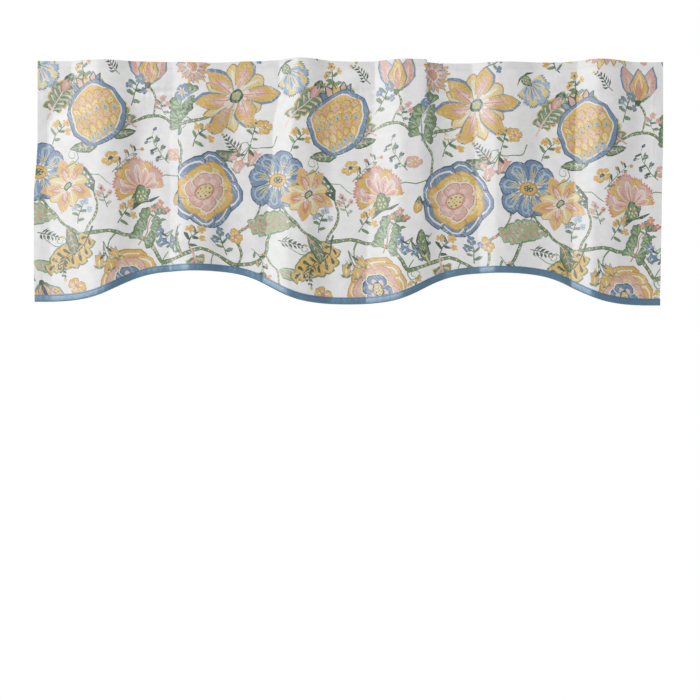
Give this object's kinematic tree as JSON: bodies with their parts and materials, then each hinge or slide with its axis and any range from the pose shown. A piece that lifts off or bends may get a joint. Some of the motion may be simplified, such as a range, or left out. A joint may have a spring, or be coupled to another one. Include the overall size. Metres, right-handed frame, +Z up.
{
  "type": "window valance",
  "caption": "Short printed cotton window valance with soft upright folds, a bound scalloped hem and sewn back tabs for a curtain rod.",
  "frame": {"origin": "middle of the top edge, on the front of the cloth where it lies flat between two folds", "axes": "+X along the rod to the right as seen from the room, +Y away from the room, +Z up"},
  "size_m": [1.182, 0.0637, 0.4622],
  "materials": {
    "printed_cotton": "white cotton with a slight satin sheen, printed with mustard, pink, blue and green flowers",
    "blue_binding": "plain steel-blue cotton strip, folded and stitched",
    "plain_cotton": "plain off-white cotton"
  },
  "bodies": {
    "root": {"panel": "printed_cotton", "hem_binding": "blue_binding", "tab_1": "plain_cotton", "tab_2": "plain_cotton", "tab_3": "plain_cotton", "tab_4": "plain_cotton", "tab_5": "plain_cotton", "tab_6": "plain_cotton", "tab_7": "plain_cotton"}
  },
  "joints": []
}
